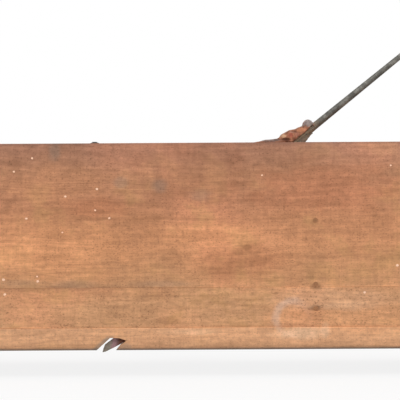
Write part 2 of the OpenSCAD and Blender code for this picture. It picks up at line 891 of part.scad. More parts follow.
// Flanged iron bar with an upright slot for the drive pin
module yoke_bar() {
  slot_r = pin_r + yoke_play;
  eye_r = slot_r + yoke_wall;
  color(iron) difference() {
    union() {
      block([piston_right, yoke_flange_w / -2, yoke_z - yoke_half],
            [yoke_face, yoke_flange_w / 2, yoke_z + yoke_half]);
      run_y(-yoke_t / 2, yoke_t / 2) {
        translate([yoke_face - 1, yoke_z - yoke_h / 2]) square([pin_x - yoke_face, yoke_h]);
        for (z = [pin_low, pin_high]) translate([pin_x, z]) circle(eye_r);
        translate([pin_x - eye_r, pin_low]) square([2 * eye_r, pin_high - pin_low]);
      }
    }
    run_y(-yoke_t, yoke_t) {
      for (z = [pin_low, pin_high]) translate([pin_x, z]) circle(slot_r);
      translate([pin_x - slot_r, pin_low]) square([2 * slot_r, pin_high - pin_low]);
    }
    yoke_spots() bar_x(yoke_bolt_r + press_gap, piston_right - 1, yoke_face + 1);
  }
}

module yoke_bolts() {
  color(iron) yoke_spots() {
    bar_x(yoke_bolt_r, piston_left - yoke_bolt_r, yoke_face + yoke_bolt_r);
    bar_x(yoke_bolt_r * 1.9, yoke_face, yoke_face + yoke_bolt_r * 1.25);
    bar_x(yoke_bolt_r * 2.1, piston_left - yoke_bolt_r * 1.5, piston_left);
  }
}

in_case() {
  front_upper_plank();
  front_lower_plank();
  front_base_rail();
  back_upper_plank();
  back_lower_plank();
  back_base_rail();
  left_end_board();
  right_end_board();
  floor_board();
  lid_board();
  wall_cleats();
  left_foot();
  right_foot();
  front_shaft_bearing();
  back_shaft_bearing();
  bearing_bolts();
  trunk_top_board();
  trunk_bottom_board();
  trunk_face_board();
  trunk_left_end();
  trunk_right_end();
  trunk_nails();
  nozzle_flange();
  nozzle_pipe();
  nozzle_nails();
  front_lashing_hook();
  back_lashing_hook();
  slot_leather();
  leather_tacks();
  case_nails();
  cleat_nails();
  lid_nails();
  left_inlet_hinge();
  right_inlet_hinge();
  left_outlet_hinge();
  right_outlet_hinge();
  lever_rod();
  lever_grip();
  grip_ferrule();
  rock_shaft();
  shaft_collars();
  front_lower_arm();
  back_lower_arm();
  drive_pin();
  piston_board();
  piston_battens();
  piston_packing();
  yoke_bar();
  yoke_bolts();
  left_inlet_flap();
  left_inlet_facing();
  right_inlet_flap();
  right_inlet_facing();
  left_outlet_flap();
  left_outlet_facing();
  right_outlet_flap();
  right_outlet_facing();
}
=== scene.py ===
import json
import math
import bmesh
import bpy
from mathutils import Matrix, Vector, noise


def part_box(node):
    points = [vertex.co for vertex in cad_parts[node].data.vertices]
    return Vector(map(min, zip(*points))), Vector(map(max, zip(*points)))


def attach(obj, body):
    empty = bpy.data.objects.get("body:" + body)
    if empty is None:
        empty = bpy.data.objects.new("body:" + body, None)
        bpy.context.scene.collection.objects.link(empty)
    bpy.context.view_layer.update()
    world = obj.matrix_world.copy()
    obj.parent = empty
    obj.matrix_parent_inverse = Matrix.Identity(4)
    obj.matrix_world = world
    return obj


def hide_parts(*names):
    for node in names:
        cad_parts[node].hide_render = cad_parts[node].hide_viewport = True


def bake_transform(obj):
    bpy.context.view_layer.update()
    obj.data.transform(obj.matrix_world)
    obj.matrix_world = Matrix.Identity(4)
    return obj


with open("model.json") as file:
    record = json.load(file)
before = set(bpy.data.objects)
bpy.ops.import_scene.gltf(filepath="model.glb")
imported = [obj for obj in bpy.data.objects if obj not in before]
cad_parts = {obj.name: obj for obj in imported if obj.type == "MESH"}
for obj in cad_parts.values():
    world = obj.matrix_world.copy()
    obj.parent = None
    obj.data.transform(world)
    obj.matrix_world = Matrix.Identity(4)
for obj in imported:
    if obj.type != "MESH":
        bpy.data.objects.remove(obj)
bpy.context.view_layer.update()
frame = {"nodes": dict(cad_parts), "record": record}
nodes = frame["nodes"]
slot_of = {part["node"]: part["material_slot"] for part in frame["record"]["subparts"]}
body_of = {}
for body, names in frame["record"]["behaviour"]["bodies"].items():
    body_of.update(dict.fromkeys(names, body))

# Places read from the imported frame, in metres
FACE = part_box("front_upper_plank")
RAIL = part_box("front_base_rail")
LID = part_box("lid_board")
FRONT = FACE[0][1]
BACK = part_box("back_upper_plank")[1][1]
MIDDLE = (FRONT + BACK) / 2
BASE = RAIL[0][2]
RAIL_TOP = RAIL[1][2]
SEAM = FACE[0][2]
TOP = FACE[1][2]
CASE_BOX = ((LID[0][0], FRONT, BASE), (LID[1][0], BACK, TOP))
TRUNK_BOX = (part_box("trunk_bottom_board")[0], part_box("trunk_top_board")[1])
swing = next(j for j in frame["record"]["behaviour"]["joints"] if j["name"] == "lever_swing")
PIVOT = Vector(swing["pos_m"])
# Foot of the notch's left edge, and how far that edge runs for its height
NOTCH = (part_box("front_lashing_hook")[0][0] - 0.010, 1.11)
# Foot of the half-driven nail in the top edge
LOOSE_NAIL = Vector((-0.173, FRONT + 0.011, TOP))
# The lever at rest: its lean, and the rod's radius at the shaft, at the lid and lost along its thick root
LEVER_LEAN = math.radians(38.8)
ROD_SHAFT_R = 0.0091
ROD_LID_R = 0.0076
ROD_TAPER = 0.0028
ROD_ROOT = 0.116


def srgb(r, g, b):
    """Linear colour from 0 to 255 screen values."""
    out = []
    for c in (r, g, b):
        c /= 255
        out.append(c / 12.92 if c <= 0.04045 else ((c + 0.055) / 1.055) ** 2.4)
    return (*out, 1.0)


def clip(value):
    return min(1.0, max(0.0, value))


def ripple(x, y, z):
    """Smooth noise from about -1 to 1."""
    return noise.noise(Vector((x, y, z)))


class Graph:
    """A material's node tree with short helpers; each helper returns a socket. With kept, places come from
    the mesh's own "rest" values, so that the pattern stays put when the piece bends."""

    def __init__(self, name, kept=False):
        self.material = bpy.data.materials.new(name)
        self.material.use_nodes = True
        self.tree = self.material.node_tree
        self.shader = self.tree.nodes["Principled BSDF"]
        spot = self.node("ShaderNodeTexCoord")
        self.normal = spot.outputs["Normal"]
        self.place = spot.outputs["Object"]
        if kept:
            self.place = self.node("ShaderNodeAttribute", attribute_name="rest").outputs["Vector"]
        self.x, self.y, self.z = self.split(self.place)

    def node(self, kind, **settings):
        made = self.tree.nodes.new(kind)
        for key, value in settings.items():
            setattr(made, key, value)
        return made

    def put(self, socket, value):
        if isinstance(value, bpy.types.NodeSocket):
            self.tree.links.new(value, socket)
        else:
            socket.default_value = value

    def fill(self, made, **values):
        """Set a node's plain inputs; an underscore stands for a space in an input's name."""
        for key, value in values.items():
            made.inputs[key.replace("_", " ")].default_value = value

    def math(self, op, a, b=0.0, clamp=False):
        made = self.node("ShaderNodeMath", operation=op, use_clamp=clamp)
        self.put(made.inputs[0], a)
        self.put(made.inputs[1], b)
        return made.outputs[0]

    def plus(self, a, b):
        return self.math("ADD", a, b)

    def minus(self, a, b):
        return self.math("SUBTRACT", a, b)

    def times(self, a, b):
        return self.math("MULTIPLY", a, b)

    def far(self, a, b):
        """Length of a flat vector."""
        return self.math("SQRT", self.plus(self.times(a, a), self.times(b, b)))

    def stray(self, value, pattern, amount):
        """A value pushed about by a noise, up to half the amount either way."""
        return self.plus(value, self.times(self.minus(pattern, 0.5), amount))

    def step(self, value, low, high, start=0.0, end=1.0):
        made = self.node("ShaderNodeMapRange", interpolation_type="SMOOTHSTEP")
        self.put(made.inputs["Value"], value)
        self.fill(made, From_Min=low, From_Max=high, To_Min=start, To_Max=end)
        return made.outputs[0]

    def split(self, vector):
        made = self.node("ShaderNodeSeparateXYZ")
        self.put(made.inputs[0], vector)
        return made.outputs

    def join(self, *values):
        made = self.node("ShaderNodeCombineXYZ")
        for socket, value in zip(made.inputs, values):
            self.put(socket, value)
        return made.outputs[0]

    def stretch(self, vector, scale, shift=(0, 0, 0)):
        made = self.node("ShaderNodeMapping")
        self.put(made.inputs["Vector"], vector)
        self.fill(made, Scale=scale, Location=shift)
        return made.outputs[0]

    def noise(self, vector, scale=1.0, detail=4.0, rough=0.55, distort=0.0):
        made = self.node("ShaderNodeTexNoise")
        self.put(made.inputs["Vector"], vector)
        self.fill(made, Scale=scale, Detail=detail, Roughness=rough, Distortion=distort)
        return made.outputs["Fac"]

    def mix(self, factor, a, b, blend="MIX"):
        made = self.node("ShaderNodeMix", data_type="RGBA", blend_type=blend)
        self.put(made.inputs["Factor"], factor)
        self.put(made.inputs[6], a)
        self.put(made.inputs[7], b)
        return made.outputs[2]

    def scale(self, colour, value):
        gray = self.node("ShaderNodeCombineColor")
        for i in range(3):
            self.put(gray.inputs[i], value)
        return self.mix(1.0, colour, gray.outputs[0], "MULTIPLY")

    def ramp(self, value, stops):
        made = self.node("ShaderNodeValToRGB")
        self.put(made.inputs[0], value)
        band = made.color_ramp
        while len(band.elements) < len(stops):
            band.elements.new(0.5)
        for element, (spot, colour) in zip(band.elements, stops):
            element.position = spot
            element.color = colour
        return made.outputs[0]

    def patch(self, x, z, rx, rz, ragged):
        """Soft-edged spot seen from the front, 1 in its middle, with its edge pushed about by a noise. Its
        place over the case's middle and bottom edge and its size are in millimetres."""
        dx = self.math("DIVIDE", self.minus(self.x, x / 1000), rx / 1000)
        dz = self.math("DIVIDE", self.minus(self.z, BASE + z / 1000), rz / 1000)
        return self.step(self.stray(self.far(dx, dz), ragged, 1.5), 0.35, 1.15, 1.0, 0.0)

    def bump(self, height, strength, distance, after=None):
        made = self.node("ShaderNodeBump")
        self.fill(made, Strength=strength, Distance=distance)
        self.put(made.inputs["Height"], height)
        if after is not None:
            self.put(made.inputs["Normal"], after)
        return made.outputs[0]

    def finish(self, colour, roughness, normal, metallic=0.0, specular=0.5):
        values = {"Base Color": colour, "Roughness": roughness, "Normal": normal, "Metallic": metallic,
                  "Specular IOR Level": specular}
        for key, value in values.items():
            self.put(self.shader.inputs[key], value)
        return self.material


# Wear on the front face: for each screen colour, places in millimetres from the face's middle and from its
# bottom edge, with a size each way and a strength
FACE_WEAR = {
    "warm wood": ((228, 161, 113), [
        (-230, 160, 150, 55, 0.55), (10, 190, 90, 26, 0.5), (230, 66, 150, 48, 0.4),
        (-230, 268, 110, 36, 0.22),
    ]),
    "reddish wood": ((192, 118, 82), [(205, 266, 150, 48, 0.3), (-170, 235, 60, 20, 0.25)]),
    "brown smudges": ((116, 74, 46), [
        (74, 151, 58, 28, 0.35), (62, 122, 60, 16, 0.2), (-70, 92, 45, 15, 0.2), (77, 168, 9, 6, 0.4),
        (20, 140, 50, 16, 0.2), (-54, 47, 26, 9, 0.3), (123, 92, 6, 3.5, 0.46), (150, 128, 60, 20, 0.08),
        (-120, 60, 70, 14, 0.15), (10, 288, 110, 60, 0.24),
    ]),
    "grey grime": ((138, 122, 108), [
        (-238, 330, 12, 20, 0.4), (-66, 270, 18, 13, 0.42), (0, 253, 22, 14, 0.26),
        (-131, 275, 14, 12, 0.34), (-205, 109, 40, 8, 0.22), (-62, 109, 70, 7, 0.24),
        (-300, 112, 50, 6, 0.18), (-125, 6, 14, 8, 0.4),
    ]),
    "nail stains": ((92, 64, 42), [
        (188, 67.5, 13, 6, 0.6), (189, 102.5, 10, 6, 0.42), (189, 211, 6, 5, 0.3),
    ]),
    "pale rubbed wood": ((236, 200, 166), [
        (159, 27, 52, 12, 0.45), (-20, 30, 60, 6, 0.2), (240, 70, 60, 8, 0.1), (215, 82, 130, 20, 0.2),
        (204, 32, 8, 15, 0.3),
    ]),
}
# Specks of paint on it, each with a place and a radius
FLECKS = [
    (-275, 316, 1.95), (-305, 294, 1.95), (-169, 265, 2.21), (-221, 253, 2.08), (-172, 230, 1.82),
    (-285, 217, 2.21), (-149, 217, 1.95), (-226, 194, 1.56), (-323, 117, 2.6), (-267, 114, 2.47),
    (-321, 93, 2.47), (102, 286, 1.56), (313, 301, 1.69), (323, 137, 2.6), (269, 93, 2.47),
    (-268, 122, 1.69),
]
# Middle and radius of the ring stain
STAIN = (152, 51, 28.5)


def end_grain(g, colour, axis, run, mottle, speckle):
    """Dark rings where the surface looks along the grain."""
    look = g.math("ABSOLUTE", g.split(g.normal)[axis])
    across = g.node("ShaderNodeVectorMath", operation="LENGTH")
    g.put(across.inputs[0], g.stretch(run, (0.02, 1.0, 1.3), (0, 0.11, 0.17)))
    rings = g.math("SINE", g.plus(g.times(across.outputs["Value"], 1300.0), g.times(mottle, 16.0)))
    cut = g.scale(colour, g.step(rings, -1.0, 1.0, 0.64, 0.84))
    cut = g.scale(cut, g.step(speckle, 0.3, 0.7, 0.82, 1.1))
    return g.mix(g.step(look, 0.75, 0.92), colour, cut)


def wood(name, along, tone, seed, dirt, marks, face=False):
    """Old sawn wood with its grain along one axis. tone is a dark and a light colour, or a function of the
    graph that returns a colour, and marks adds the wear. The front face is more pored and saw-marked."""
    g = Graph(name)
    order = {"x": (g.x, g.y, g.z), "y": (g.y, g.x, g.z), "z": (g.z, g.x, g.y)}[along]
    run = g.stretch(g.join(*order), (1, 1, 1), (seed * 1.37, seed * 0.71, seed * 2.13))
    lift = g.stray(0.0, g.noise(g.stretch(run, (2.4, 7, 7)), 1.0, 2.0), 0.05)
    wander = g.node("ShaderNodeVectorMath", operation="ADD")
    g.put(wander.inputs[0], run)
    g.put(wander.inputs[1], g.join(0.0, lift, lift))
    bent = wander.outputs[0]
    bands = g.noise(g.stretch(bent, (2.2, 30, 30)), 1.0, 3.0, 0.6)
    grain = g.noise(g.stretch(bent, (13, 190, 190)), 1.0, 7.0, 0.7)
    speckle = g.noise(g.stretch(run, (85, 130, 130)), 1.0, 5.0, 0.7)
    fibre = g.noise(g.stretch(run, (38, 1200, 1200)), 1.0, 3.0, 0.7)
    saw = g.noise(g.stretch(run, (330, 14, 14)), 1.0, 2.0, 0.5)
    mottle = g.noise(run, 17.0, 6.0, 0.62)
    cloud = g.noise(run, 5.5, 3.0, 0.5)
    if callable(tone):
        colour = tone(g, cloud, mottle)
    else:
        shade = g.plus(g.times(cloud, 0.6), g.times(bands, 0.4))
        colour = g.mix(g.step(shade, 0.36, 0.64), *tone)
    saw_marks = (0.965, 1.025) if face else (0.99, 1.008)
    for pattern, low, high, dark, light in (
        (bands, 0.3, 0.7, 0.93, 1.05), (grain, 0.34, 0.66, 0.88, 1.07), (fibre, 0.3, 0.7, 0.95, 1.04),
        (saw, 0.35, 0.65, *saw_marks), (speckle, 0.34, 0.64, 0.87, 1.07),
        (mottle, 0.34, 0.6, 1.0 - 0.2 * dirt, 1.02),
    ):
        colour = g.scale(colour, g.step(pattern, low, high, dark, light))
    speck = g.step(g.noise(run, 150.0, 2.0, 0.5), 0.66, 0.74)
    colour = g.mix(g.times(speck, 0.35 * dirt), colour, srgb(86, 58, 42))
    pores = g.step(g.noise(g.stretch(run, (300, 460, 460)), 1.0, 2.0, 0.5), 0.56, 0.69)
    pores = g.times(pores, g.step(mottle, 0.35, 0.6, 0.95, 0.45))
    colour = g.mix(g.times(pores, dirt if face else dirt * 0.45), colour, srgb(96, 62, 42))
    # Growth rings, as lines of one height in a slow swell
    swell = g.noise(g.stretch(bent, (0.4, 11, 11) if face else (1.0, 8.0, 8.0)), 1.0, 1.5, 0.4)
    late = g.step(g.math("SINE", g.times(swell, 230.0)), -0.1, 0.95)
    late = g.times(late, g.step(bands, 0.35, 0.65, 1.0, 0.25))
    colour = g.mix(g.times(late, 0.12 if face else 0.34), colour, srgb(118, 74, 46))
    colour = end_grain(g, colour, "xyz".index(along), run, mottle, speckle)
    colour = marks(g, colour, mottle, run)
    worn = g.plus(g.times(grain, 0.6), g.times(mottle, 0.4))
    height = g.plus(g.times(fibre, 0.25), g.times(saw, 0.22 if face else 0.06))
    height = g.plus(g.times(grain, 0.7), height)
    height = g.plus(height, g.times(late, 0.25))
    normal = g.bump(height, 0.55, 0.0009)
    normal = g.bump(mottle, 0.25, 0.002, normal)
    return g.finish(colour, g.step(worn, 0.3, 0.7, 0.86, 0.68), normal, specular=0.25)


def face_wear(g, colour, mottle):
    """Smudges, nail stains and the ring stain of the front face; the grain shows through them."""
    ragged = g.noise(g.stretch(g.place, (26, 26, 44)), 1.0, 5.0, 0.62)
    for hue, places in FACE_WEAR.values():
        for *place, deep in places:
            colour = g.mix(g.times(g.patch(*place, ragged), deep), colour, srgb(*hue))
    # Pale ring left by a wet vessel, plainest on its upper left
    x, z, radius = (size / 1000 for size in STAIN)
    dx = g.minus(g.x, x)
    dz = g.minus(g.z, BASE + z)
    off = g.math("ABSOLUTE", g.minus(g.far(dx, dz), radius))
    ring = g.step(g.stray(off, ragged, 0.014), 0.002, 0.0095, 1.0, 0.0)
    side = g.step(g.minus(dz, dx), -0.04, 0.04, 0.03, 0.44)
    side = g.times(side, g.step(mottle, 0.36, 0.56, 0.45, 1.0))
    return g.mix(g.times(ring, side), colour, srgb(218, 190, 172))


def face_tone(g, cloud, mottle):
    """Front face: dull and reddish at the top, warm in the middle, paler towards the floor."""
    up = g.step(g.stray(g.z, cloud, 0.1), BASE, TOP)
    up.node.interpolation_type = "LINEAR"
    plain = g.ramp(up, [
        (0.05, srgb(203, 153, 112)), (0.24, srgb(201, 151, 110)), (0.34, srgb(197, 144, 103)),
        (0.46, srgb(206, 146, 104)), (0.60, srgb(203, 142, 102)), (0.72, srgb(188, 131, 97)),
        (0.86, srgb(179, 127, 95)), (1.0, srgb(171, 122, 98)),
    ])
    red = g.mix(g.step(cloud, 0.5, 0.66, 0.0, 0.32), plain, srgb(199, 131, 96))
    tan = g.times(g.step(mottle, 0.5, 0.66, 0.0, 0.5), g.step(up, 0.65, 0.9, 1.0, 0.35))
    both = g.mix(tan, red, srgb(188, 142, 94))
    return face_wear(g, g.scale(both, g.step(cloud, 0.3, 0.7, 0.88, 1.16)), mottle)


def rail_tone(g, cloud, mottle):
    """Base rail: pale worn wood, with painted shade along its rounded lower edge, and duller to the left
    under its upper edge.
    """
    plain = g.mix(g.step(mottle, 0.48, 0.66, 0.0, 0.5), srgb(223, 169, 127), srgb(207, 155, 108))
    # Painted shade: darker towards the rounded lower edge
    lower_edge_shade = g.step(g.stray(g.z, mottle, 0.01), BASE + 0.004, BASE + 0.017, 0.8, 1.0)
    upper = g.step(g.z, BASE + 0.027, RAIL_TOP + 0.003)
    upper = g.times(upper, g.step(g.x, -0.1, 0.1, 0.22, 0.0))
    return face_wear(g, g.scale(g.scale(plain, lower_edge_shade), g.minus(1.0, upper)), mottle)


def face_marks(g, colour, mottle, run):
    """Dirt in the joints of the front face and along its edges, with painted shade in the corner over the
    rail, by the notch and along the bottom edge, and painted light on the rail's upper edge and at the
    seam's right end.
    """
    ragged = g.noise(g.stretch(g.place, (26, 26, 44)), 1.0, 5.0, 0.62)
    # Dirt along the seam to the left
    seam = g.step(g.math("ABSOLUTE", g.minus(g.z, SEAM + 0.0005)), 0.001, 0.0085, 1.0, 0.0)
    left = g.step(g.plus(g.x, g.times(ragged, 0.2)), -0.1, 0.18, 0.2, 0.0)
    colour = g.mix(g.times(seam, left), colour, srgb(112, 82, 66))
    # Painted highlight along the rail's upper edge, and painted light along the seam to the right that
    # lifts the seam's shade
    # Painted highlight: lighter along the rail's upper edge
    to_rail = g.math("ABSOLUTE", g.minus(g.z, RAIL_TOP))
    colour = g.scale(colour, g.step(to_rail, 0.0008, 0.0024, 1.22, 1.0))
    # Painted light: lighter along the seam's right end
    to_seam = g.math("ABSOLUTE", g.minus(g.z, SEAM))
    seam_painted_light = g.times(g.step(to_seam, 0.0008, 0.0028, 0.16, 0.0), g.step(g.x, 0.05, 0.18))
    colour = g.scale(colour, g.plus(seam_painted_light, 1.0))
    # Dirt and painted shade in the corner over the rail
    corner_dirt_and_shade = g.step(g.z, RAIL_TOP + 0.0005, RAIL_TOP + 0.0055, 1.0, 0.0)
    corner_dirt_and_shade = g.times(corner_dirt_and_shade, g.step(g.z, RAIL_TOP - 0.004, RAIL_TOP - 0.001))
    thick = g.times(g.step(ragged, 0.3, 0.6, 0.05, 0.16), g.step(g.x, -0.1, 0.05, 0.35, 1.0))
    colour = g.mix(g.times(corner_dirt_and_shade, thick), colour, srgb(132, 86, 58))
    # Painted grey shade along the slanted left edge of the notch, standing in for its shaded side wall
    up = g.minus(g.z, BASE)
    edge = g.minus(g.minus(g.x, NOTCH[0]), g.times(up, NOTCH[1]))
    grey = g.times(g.step(edge, -0.0125, -0.004), g.step(edge, 0.003, 0.005, 1.0, 0.0))
    grey = g.times(grey, g.step(up, 0.018, 0.026, 1.0, 0.0))
    grey = g.times(grey, g.step(ragged, 0.3, 0.6, 0.5, 0.8))
    colour = g.mix(grey, colour, srgb(132, 118, 103))
    # A darker line along the top edge, and painted shade along the rounded bottom edge
    upward = g.split(g.normal)[2]
    rim = g.times(g.step(g.z, TOP - 0.0055, TOP - 0.0005), g.step(upward, 0.4, 0.8, 1.0, 0.0))
    colour = g.mix(g.times(rim, 0.35), colour, srgb(112, 84, 76))
    # Painted shade of the rounded bottom edge
    low = g.step(g.z, BASE + 0.001, BASE + 0.0055, 0.82, 0.0)
    return g.mix(low, colour, srgb(114, 106, 98))


def edge_wear(own, outer, along):
    """Marks of a board: dirt in the joints round it, drying cracks from its ends, and pale rubbed wood
    along the outer edges of what it is part of. own and outer are boxes."""

    def room(g, box):
        """Distances to the nearer side of a box, one for each axis."""
        gaps = []
        for place, low, high in zip((g.x, g.y, g.z), *box):
            off = g.math("ABSOLUTE", g.minus(place, (low + high) / 2))
            gaps.append(g.minus((high - low) / 2, off))
        return gaps

    def to_edge(g, box):
        """On the surface of a box, the distance to its nearest edge."""
        a, b, c = room(g, box)
        least = g.math("MINIMUM", g.math("MINIMUM", a, b), c)
        most = g.math("MAXIMUM", g.math("MAXIMUM", a, b), c)
        return g.minus(g.minus(g.plus(g.plus(a, b), c), least), most)

    def marks(g, colour, mottle, run):
        ragged = g.noise(g.place, 70.0, 5.0, 0.65)
        outside = to_edge(g, outer)
        rub = g.step(g.stray(outside, ragged, 0.016), 0.0006, 0.0055, 0.62, 0.0)
        soil = g.step(g.stray(outside, ragged, 0.05), 0.004, 0.04, 0.2, 0.0)
        joint = g.step(g.stray(to_edge(g, own), ragged, 0.006), 0.0004, 0.004, 0.6, 0.0)
        to_end = room(g, own)["xyz".index(along)]
        crack = g.step(g.noise(g.stretch(run, (5.0, 170, 170)), 1.0, 2.0, 0.5), 0.66, 0.69)
        crack = g.times(crack, g.step(to_end, 0.01, 0.09, 0.85, 0.0))
        colour = g.mix(soil, colour, srgb(92, 64, 46))
        colour = g.mix(joint, colour, srgb(82, 56, 40))
        colour = g.mix(crack, colour, srgb(58, 38, 26))
        return g.mix(rub, colour, srgb(216, 172, 132))

    return marks


def handled(g, colour, mottle, run):
    """Marks of the grip: unevenly darkened by hands."""
    return g.scale(colour, g.step(mottle, 0.35, 0.65, 0.82, 1.05))


def iron(name, tone, rust, seed, shine=0.5, tint=None):
    """Forged iron: dark and scaly with rubbed patches and a little rust."""
    g = Graph(name)
    run = g.stretch(g.place, (1, 1, 1), (seed, seed * 0.6, seed * 1.7))
    scale = g.noise(run, 95.0, 6.0, 0.65)
    patchy = g.noise(run, 34.0, 4.0, 0.55)
    pits = g.noise(run, 420.0, 4.0, 0.7)
    dark = tuple(c * 0.72 for c in tone[:3]) + (1.0,)
    light = tuple(min(1.0, c * 1.5) for c in tone[:3]) + (1.0,)
    colour = g.mix(g.step(scale, 0.32, 0.68), dark, tone)
    colour = g.mix(g.step(patchy, 0.56, 0.7, 0.0, 0.7), colour, light)
    rusty = g.step(g.plus(g.times(patchy, 0.5), g.times(scale, 0.5)), 0.44, 0.3)
    colour = g.mix(g.times(rusty, rust), colour, srgb(112, 70, 48))
    if tint:
        colour = tint(g, colour, scale)
    colour = g.scale(colour, g.step(pits, 0.3, 0.6, 0.8, 1.06))
    normal = g.bump(pits, 0.4, 0.0005)
    normal = g.bump(scale, 0.5, 0.0012, normal)
    metal = g.step(rusty, 0.0, 1.0, shine, shine * 0.3)
    return g.finish(colour, g.step(scale, 0.3, 0.7, 0.72, 0.5), normal, metal)


def hook_tint(g, colour, scale):
    """Grey scale towards the hook's tip, purplish higher up, nearly black where it goes into the wood."""
    along = g.stray(g.x, scale, 0.012)
    skin_tone = g.mix(g.step(along, -0.149, -0.142), srgb(118, 110, 95), srgb(140, 104, 106))
    colour = g.mix(0.8, colour, skin_tone)
    colour = g.scale(colour, g.step(scale, 0.36, 0.64, 0.72, 1.2))
    return g.mix(g.step(along, -0.141, -0.133, 0.0, 0.95), colour, srgb(84, 42, 14))


def rod_tint(g, colour, scale):
    """Light and dark patches from the hammer, and brownish grime on the rod just over the lid, painted pale
    to lift the shade that the leather casts there.
    """
    colour = g.scale(colour, g.step(g.noise(g.place, 60.0, 3.0), 0.36, 0.64, 0.7, 1.3))
    along = g.stray(g.x, scale, 0.03)
    # Grime with painted light: the rod's foot is paled to make up for the leather's shade
    foot = g.times(g.step(along, 0.176, 0.212, 0.78, 0.0), g.step(along, 0.14, 0.152))
    return g.mix(foot, colour, srgb(172, 150, 122))


# Spots of colour on the slot leather: a place over the case's middle and over its bottom edge and a size
# each way in millimetres, a strength and a screen colour
LEATHER_SPOTS = [
    (122, 348, 24, 5, 0.85, (94, 72, 64)), (142.6, 354.6, 6, 3.4, 0.8, (226, 182, 144)),
    (147.5, 349.5, 8, 2.4, 0.85, (88, 44, 22)), (156.3, 356.4, 5, 5, 0.8, (172, 92, 74)),
    (165.5, 357.5, 6, 6, 0.6, (186, 128, 106)), (174.5, 365.5, 9, 4.6, 0.85, (204, 138, 102)),
    (172, 372.6, 8, 3, 0.85, (150, 148, 132)), (188, 378.5, 17, 10, 0.92, (162, 150, 146)),
    (192, 372.5, 6, 5, 0.9, (140, 126, 114)),
]
# Screen colours of leather, from its dark to its light blotches, and where they lie in the noise
HIDE = ((104, 60, 40), (152, 96, 70), (184, 126, 94), (174, 106, 82), (198, 148, 112))
# The scrap's grey-brown grime, painted paler to lift the shade on its downward face
GRIMY_HIDE_WITH_PAINTED_LIGHT = ((112, 100, 88), (138, 126, 110), (154, 142, 126), (150, 132, 118), (168, 152, 134))
HIDE_STOPS = (0.30, 0.43, 0.53, 0.62, 0.72)


def leather(name, seed, sheet=False, hues=HIDE):
    """Dry old leather; on the sheet, wear, creases and the painted shade where its sides turn under come
    from values kept with the mesh.
    """
    g = Graph(name, sheet)
    run = g.stretch(g.place, (1, 1, 1), (seed, seed * 1.9, seed * 0.4))
    blotch = g.noise(run, 75.0, 5.0, 0.6)
    pores = g.noise(run, 520.0, 4.0, 0.65)
    wrinkle = g.noise(g.stretch(run, (190, 45, 150)), 1.0, 4.0, 0.6, 0.6)
    colour = g.ramp(blotch, [(spot, srgb(*hue)) for spot, hue in zip(HIDE_STOPS, hues)])
    if sheet:
        fold_and_under_shade = g.node("ShaderNodeAttribute", attribute_name="crease_and_under_shade").outputs["Fac"]
        ragged = g.noise(run, 120.0, 4.0, 0.6)
        for *place, deep, hue in LEATHER_SPOTS:
            colour = g.mix(g.times(g.patch(*place, ragged), deep), colour, srgb(*hue))
        # Darker in the dents and fold valleys, and painted shade where the sheet's sides turn under
        colour = g.mix(g.step(fold_and_under_shade, 0.2, 0.9, 0.0, 0.8), colour, srgb(84, 44, 26))
    colour = g.scale(colour, g.step(wrinkle, 0.3, 0.65, 0.72, 1.06))
    colour = g.scale(colour, g.step(pores, 0.3, 0.65, 0.88, 1.04))
    normal = g.bump(pores, 0.35, 0.0005)
    normal = g.bump(wrinkle, 0.7, 0.0016, normal)
    return g.finish(colour, g.step(blotch, 0.3, 0.7, 0.85, 0.66), normal, specular=0.3)


def old_paint():
    g = Graph("old_paint")
    dust = g.noise(g.place, 600.0, 3.0)
    colour = g.mix(g.step(dust, 0.35, 0.65), srgb(238, 192, 160), srgb(246, 210, 182))
    return g.finish(colour, g.step(dust, 0.3, 0.7, 0.9, 0.7), g.bump(dust, 0.3, 0.0003))


def new_piece(name, bm, material):
    """Smooth-shaded object from a finished bmesh."""
    mesh = bpy.data.meshes.new(name)
    bm.normal_update()
    bm.to_mesh(mesh)
    bm.free()
    mesh.materials.append(material)
    for polygon in mesh.polygons:
        polygon.use_smooth = True
    piece = bpy.data.objects.new(name, mesh)
    bpy.context.scene.collection.objects.link(piece)
    return piece


def spread(stations, t):
    """Smooth value along a list of stations, t from 0 to 1."""
    last = len(stations) - 1
    at = clip(t) * last
    i = min(int(at), last - 1)
    f = at - i
    four = [stations[min(max(i + k, 0), last)] for k in (-1, 0, 1, 2)]
    out = []
    for a, b, c, d in zip(*four):
        out.append(0.5 * (2 * b + (c - a) * f + (2 * a - 5 * b + 4 * c - d) * f * f
                          + (3 * b - a - 3 * c + d) * f ** 3))
    return out


def skin(bm, rings):
    """Faces between rings of points, each closed on itself."""
    count = len(rings[0])
    for a, b in zip(rings, rings[1:]):
        for k in range(count):
            after = (k + 1) % count
            bm.faces.new([a[k], a[after], b[after], b[k]])


def close_sheet(bm, outer, inner, rows, columns):
    """Faces for a sheet from its two grids of points, closed along the rim."""
    width = columns + 1
    for i in range(rows):
        for j in range(columns):
            a = i * width + j
            d = a + width
            bm.faces.new([outer[k] for k in (a, d, d + 1, a + 1)])
            bm.faces.new([inner[k] for k in (a, a + 1, d + 1, d)])
    rim = list(range(width))
    rim += [i * width + columns for i in range(1, rows + 1)]
    rim += [rows * width + j for j in range(columns - 1, -1, -1)]
    rim += [i * width for i in range(rows - 1, 0, -1)]
    for a, b in zip(rim, rim[1:] + rim[:1]):
        bm.faces.new([outer[a], outer[b], inner[b], inner[a]])
    bmesh.ops.recalc_face_normals(bm, faces=bm.faces)


